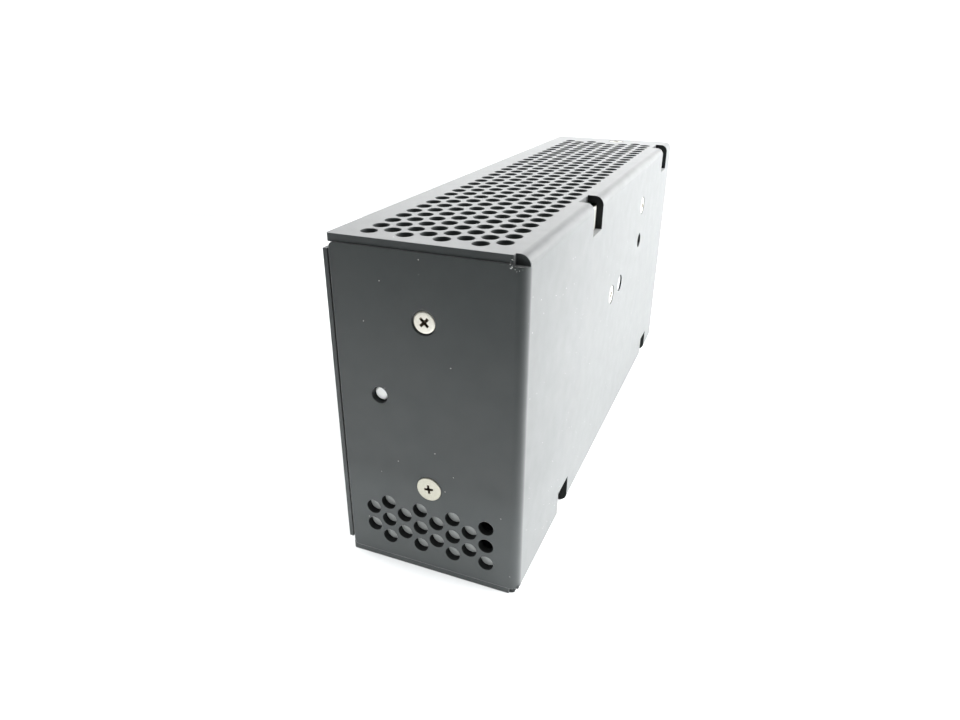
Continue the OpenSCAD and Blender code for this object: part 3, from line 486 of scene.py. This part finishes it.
def solids(node):
    """Lowest and highest corner of each separate solid of a CAD node, sorted by place."""
    bm = bmesh.new()
    bm.from_mesh(NODES[node].data)
    bmesh.ops.remove_doubles(bm, verts=bm.verts, dist=1e-7)
    bm.verts.ensure_lookup_table()
    seen, found = set(), []
    for start in bm.verts:
        if start.index in seen:
            continue
        stack, group = [start], []
        seen.add(start.index)
        while stack:
            v = stack.pop()
            group.append(v.co.copy())
            for edge in v.link_edges:
                other = edge.other_vert(v)
                if other.index not in seen:
                    seen.add(other.index)
                    stack.append(other)
        low = Vector(min(c[i] for c in group) for i in range(3))
        high = Vector(max(c[i] for c in group) for i in range(3))
        found.append((low, high))
    bm.free()
    return sorted(found, key=lambda pair: [round(v, 4) for v in (*pair[0],)])


def finish_piece(piece, slot, body, *nodes):
    piece.data.materials.clear()
    piece.data.materials.append(MATERIALS[slot])
    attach(piece, body)
    if nodes:
        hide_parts(*nodes)


# ---------------------------------------------------------------- screws

def cross_cutter(name, reach, deep):
    """The tapered cross that a driver leaves: two wedges and a cone between them."""
    bm = bmesh.new()
    for turn in (0, 90):
        wide, thin = reach / 2, reach * 0.12
        top = [(-wide, -thin, 0.2), (wide, -thin, 0.2), (wide, thin, 0.2), (-wide, thin, 0.2)]
        foot = [(x * 0.42, y * 0.7, -deep) for x, y, _ in top]
        ring = Matrix.Rotation(math.radians(turn), 4, "Z")
        verts = [bm.verts.new(ring @ (Vector(p) * MM)) for p in top + foot]
        bm.faces.new(verts[0:4])
        bm.faces.new(verts[7:3:-1])
        for i in range(4):
            j = (i + 1) % 4
            bm.faces.new((verts[i], verts[4 + i], verts[4 + j], verts[j]))
    lathe(bm, [(0, 0.21), (reach * 0.23, 0.21), (reach * 0.2, 0), (reach * 0.12, -deep),
               (0, -deep * 1.25)], 16)
    return mesh_object(name, bm)


def cut_cross(screw, reach, deep, turn):
    """Cuts a cross recess into the top of a screw whose head ends at its highest point."""
    cutter = cross_cutter("cutter", reach, deep)
    cutter.rotation_euler.z = math.radians(turn)
    cutter.location.z = max(v.co.z for v in screw.data.vertices)
    modifier = screw.modifiers.new("recess", "BOOLEAN")
    modifier.operation = "DIFFERENCE"
    modifier.solver = "EXACT"
    modifier.use_self = True
    modifier.object = cutter
    apply_modifiers(screw)
    bpy.data.objects.remove(cutter)


def thread_outline(radius, top, foot, pitch=0.5):
    """Ridges of a thread from top down to foot, ending in a small chamfer."""
    points = []
    height = top
    while height - pitch > foot + 0.4:
        points += [(radius - 0.18, height), (radius, height - pitch / 2)]
        height -= pitch
    return points + [(radius - 0.18, foot + 0.35), (radius - 0.5, foot), (0, foot)]


def flat_screw(name, head_r, shank_r, length, rim, turn=45, reach=None):
    """Countersunk screw along -z, its head's top at z = 0."""
    cone = head_r - rim - shank_r
    outline = [(0, 0), (head_r - 0.45, 0), (head_r - 0.2, -0.03), (head_r - 0.06, -0.1), (head_r, -0.22),
               (head_r - 0.02, -rim), (shank_r, -rim - cone)]
    outline += thread_outline(shank_r, -rim - cone - 0.3, -length)
    bm = bmesh.new()
    lathe(bm, outline)
    screw = mesh_object(name, bm)
    cut_cross(screw, reach or head_r * 1.08, head_r * 0.42, turn)
    return screw


def pan_screw(name, head_r, head_h, shank_r, length, turn=0):
    """Pan-head screw along -z, the underside of its head at z = 0."""
    outline = [(0, head_h)]
    steps = 7
    for i in range(1, steps + 1):
        angle = math.pi / 2 * i / steps
        outline.append((head_r * math.sin(angle) ** 0.8, head_h * (0.45 + 0.55 * math.cos(angle))))
    outline += [(head_r, 0.06), (head_r - 0.1, 0), (shank_r, 0)]
    outline += thread_outline(shank_r, -0.2, -length)
    bm = bmesh.new()
    lathe(bm, outline)
    screw = mesh_object(name, bm)
    cut_cross(screw, head_r * 1.05, head_h * 0.6, turn)
    return screw


def recess_faces(mesh, top, radius):
    """Faces inside the cross: below the head's top, near its axis and not the shank's foot."""
    found = set()
    for face in mesh.polygons:
        centre = face.center
        if centre.xy.length < radius * 0.62 and top - radius * 1.1 < centre.z < top - 0.06 * MM:
            outward = face.normal.dot(Vector((centre.x, centre.y, 0)))
            if face.normal.z > -0.3 and outward < 0.0002 * radius / MM:
                found.add(face.index)
    return found


def place_screws(node, body, axis, build, flip_lower=False):
    """One finer screw for each solid of a node. axis points out of the head, such as (0, -1, 0).
    With flip_lower, the solids below the case's middle point the other way."""
    for number, (low, high) in enumerate(solids(node)):
        out = Vector(axis)
        if flip_lower and high.z < (CASE_LOW.z + CASE_HIGH.z) / 2:
            out = -out
        along = max(range(3), key=lambda i: abs(out[i]))
        head = (low + high) / 2
        head[along] = high[along] if out[along] > 0 else low[along]
        size = high - low
        radius = max(size[i] for i in range(3) if i != along) / 2 / MM
        screw = build(f"{node}_{number + 1}", radius, size[along] / MM, number)
        top = max(v.co.z for v in screw.data.vertices)
        recess = recess_faces(screw.data, top, radius * MM)
        turn = out.to_track_quat("Z", "Y").to_matrix().to_4x4()
        screw.data.transform(Matrix.Translation(head) @ turn @ Matrix.Translation((0, 0, -top)))
        finish_piece(screw, "nickel_screws", body, node)
        # The faces inside the cross get the darker metal, painted shade in the recess.
        screw.data.materials.append(RECESS_SHADE)
        for face in screw.data.polygons:
            if face.index in recess:
                face.material_index = 1


# ---------------------------------------------------------------- assembly

SLOT_OF = {part["node"]: part["material_slot"] for part in frame["record"]["subparts"]}
M3_R = 1.45
M3_HEAD = 1.9
TERMINAL_R = 1.7
TERMINAL_HEAD = 2.4


def paint_nodes():
    """Every CAD node gets its slot's material, and the end card a greyer one."""
    for name, node in NODES.items():
        node.data.materials.clear()
        node.data.materials.append(END_CARD if name == "end_insulator" else MATERIALS[SLOT_OF[name]])
    paint_shade_on_cut_walls(NODES["chassis"])


def paint_shade_on_cut_walls(chassis):
    """The walls of the near end's vents and of the edge slots get a near-black paint: painted shade in the
    holes.
    """
    chassis.data.materials.append(VENT_WALL_SHADE)
    side, floor, vents_top, sheet, skin = (n * MM for n in (5, 3, 30, 2, 0.05))
    slots_from, slots_to = CASE_LOW.y + 10 * MM, CASE_HIGH.y - 3 * MM
    low = CASE_LOW + Vector((side, skin, floor))
    high = Vector((CASE_HIGH.x - side, CASE_LOW.y + sheet - skin, CASE_LOW.z + vents_top))
    for face in chassis.data.polygons:
        in_box = all(low[i] < face.center[i] < high[i] for i in range(3))
        in_vent = in_box and abs(face.normal.y) < 0.3
        in_slot = (abs(face.normal.y) > 0.9 and face.center.x > high.x
                   and slots_from < face.center.y < slots_to)
        if in_vent or in_slot:
            face.material_index = 1


def near_screw(name, radius, length, number):
    """The near end's screws: the upper one's cross is turned an eighth, the lower one's is smaller
    and stands almost square."""
    if number:
        return flat_screw(name, radius, M3_R, length, rim=0.4, turn=45)
    return flat_screw(name, radius, M3_R, length, rim=0.2, turn=8, reach=radius * 0.8)


def m3_pan_screw(name, radius, length, turn):
    return pan_screw(name, radius, M3_HEAD, M3_R, length - M3_HEAD, turn)


def add_wall_post():
    """The blind post pressed into the broad wall. Its head has a dish whose sides get painted shade, with
    a bare floor.
    """
    low, high = (Vector(corner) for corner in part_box("wall_post"))
    length, head = (high.x - low.x) / MM, (high.y - low.y) / 2 / MM
    pin, board, shank, head_depth, dish = 1.4, 1.6, 2.5, 1.95, 0.4
    bm = bmesh.new()
    lathe(bm, [(0, 0), (pin, 0), (pin, board), (shank, board), (shank, length - head_depth),
               (head, length - head_depth), (head, length), (head - 0.15, length),
               (head - 0.25, length - dish), (0, length - dish)])
    post = mesh_object("wall_post_dished", bm)
    place = Matrix.Translation((low.x, (low.y + high.y) / 2, (low.z + high.z) / 2))
    post.data.transform(place @ Vector((1, 0, 0)).to_track_quat("Z", "Y").to_matrix().to_4x4())
    finish_piece(post, "zinc_steel", "case", "wall_post")
    # The dish's sides get the near-black paint: painted shade.
    post.data.materials.append(VENT_WALL_SHADE)
    for face in post.data.polygons:
        if abs(face.normal.x) < 0.5 and high.x - dish * MM < face.center.x:
            face.material_index = 1


def add_screws():
    place_screws("near_end_screws", "case", (0, -1, 0), near_screw)
    # The lower near screw gets the darker copy of the nickel, painted shade.
    bpy.data.objects["near_end_screws_1"].data.materials[0] = NICKEL_PAINTED_SHADE
    place_screws("heatsink_screws", "case", (1, 0, 0),
                 lambda name, r, length, i: flat_screw(name, r, M3_R, length, 0.3, 20 + 40 * i))
    place_screws("din_screws", "case", (-1, 0, 0),
                 lambda name, r, length, i: flat_screw(name, r, M3_R, length, 0.3, 15 + 33 * i))
    place_screws("cover_screws", "case", (0, 1, 0),
                 lambda name, r, length, i: m3_pan_screw(name, r, length, 30 + 50 * i))
    place_screws("terminal_screws", "case", (0, 1, 0),
                 lambda name, r, length, i: pan_screw(name, r, TERMINAL_HEAD, TERMINAL_R,
                                                      length - TERMINAL_HEAD, 10 + 47 * i))
    place_screws("board_screws", "case", (-1, 0, 0),
                 lambda name, r, length, i: m3_pan_screw(name, r, length, 25 * i))
    place_screws("panel_screws", "case", (0, 0, 1),
                 lambda name, r, length, i: flat_screw(name, r, M3_R, length, 0.3, 35), flip_lower=True)


# ---------------------------------------------------------------- wire

def tube_along(name, points, radius, sides=10):
    """A round wire along a path of points, in metres, with flat ends."""
    bm = bmesh.new()
    rings, normal = [], None
    for i, point in enumerate(points):
        ahead = points[min(i + 1, len(points) - 1)] - points[max(i - 1, 0)]
        ahead.normalize()
        if normal is None:
            normal = ahead.orthogonal().normalized()
        normal = (normal - ahead * normal.dot(ahead)).normalized()
        across = ahead.cross(normal)
        rings.append([bm.verts.new(point + (normal * math.cos(a) + across * math.sin(a)) * radius)
                      for a in (2 * math.pi * j / sides for j in range(sides))])
    for a, b in zip(rings, rings[1:]):
        for j in range(sides):
            bm.faces.new((a[j], a[(j + 1) % sides], b[(j + 1) % sides], b[j]))
    bm.faces.new(rings[0][::-1])
    bm.faces.new(rings[-1])
    return mesh_object(name, bm, smooth=True)


def add_latch_spring():
    low, high = (Vector(corner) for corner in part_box("latch_spring"))
    wire = 0.25 * MM
    middle = (low + high) / 2
    radius = (high.y - low.y) / 2 - wire
    turns, steps = 6, 6 * 28
    points = []
    for i in range(steps + 1):
        done = i / steps
        flat = min(1, max(0, (done * turns - 0.8) / (turns - 1.6)))
        height = wire + (high.z - low.z - 4 * wire) * flat + 2 * wire * done
        angle = 2 * math.pi * turns * done
        points.append(Vector((middle.x + radius * math.cos(angle), middle.y + radius * math.sin(angle),
                              low.z + height)))
    spring = tube_along("spring_coil", points, wire)
    finish_piece(spring, "spring_steel", "case", "latch_spring")
    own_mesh(spring)


def round_rectangle(wide, high, corner, steps=6):
    """Points round a rectangle with round corners, in the order of travel."""
    points = []
    for quarter, (sx, sy) in enumerate(((1, 1), (-1, 1), (-1, -1), (1, -1))):
        for i in range(steps + 1):
            angle = math.pi / 2 * (quarter + i / steps)
            points.append((sx * (wide / 2 - corner) + corner * math.cos(angle),
                           sy * (high / 2 - corner) + corner * math.sin(angle)))
    return points


def ring_winding(node, core, wire, sectors):
    """Turns of wire round a ring core. sectors holds (start, sweep, turns), in degrees from +z."""
    low, high = (Vector(corner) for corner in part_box(core))
    middle = (low + high) / 2
    outer = (high.y - low.y) / 2
    inner = CORE_INNER[core] * MM
    section = round_rectangle(outer - inner + 2.3 * wire, high.x - low.x + 2.3 * wire, wire * 1.6)
    for number, (start, sweep, turns) in enumerate(sectors):
        points = []
        total = turns * len(section)
        for i in range(total + 1):
            across, along = section[i % len(section)]
            angle = math.radians(start + sweep * i / total)
            radius = (outer + inner) / 2 + across
            points.append(Vector((middle.x - along, middle.y + radius * math.sin(angle),
                                  middle.z + radius * math.cos(angle))))
        coil = tube_along(f"{node}_{number + 1}", points, wire, 8)
        finish_piece(coil, "enamelled_wire", "case", node)


def spool_winding(node, wire):
    """Turns of wire wound round a spool whose axis is x."""
    low, high = (Vector(corner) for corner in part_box(node))
    middle = (low + high) / 2
    turns = int((high.x - low.x) / (2.06 * wire))
    section = round_rectangle(high.y - low.y - 2 * wire, high.z - low.z - 2 * wire, 2.2 * MM)
    total = turns * len(section)
    points = []
    for i in range(total + 1):
        y, z = section[i % len(section)]
        points.append(Vector((low.x + wire + (high.x - low.x - 2 * wire) * i / total,
                              middle.y + y, middle.z + z)))
    coil = tube_along(f"{node}_turns", points, wire, 8)
    finish_piece(coil, "enamelled_wire", "case", node)


CORE_INNER = {"line_choke_core": 6.5, "output_choke_core": 5.0}


def add_windings():
    ring_winding("line_choke_windings", "line_choke_core", 0.5 * MM, [(17, 146, 13), (197, 146, 13)])
    ring_winding("output_choke_winding", "output_choke_core", 0.48 * MM, [(22, 316, 22)])
    spool_winding("boost_choke_winding", 0.4 * MM)


add_camera()
add_stage()
add_lights()
paint_nodes()
add_screws()
add_wall_post()
add_latch_spring()
add_windings()
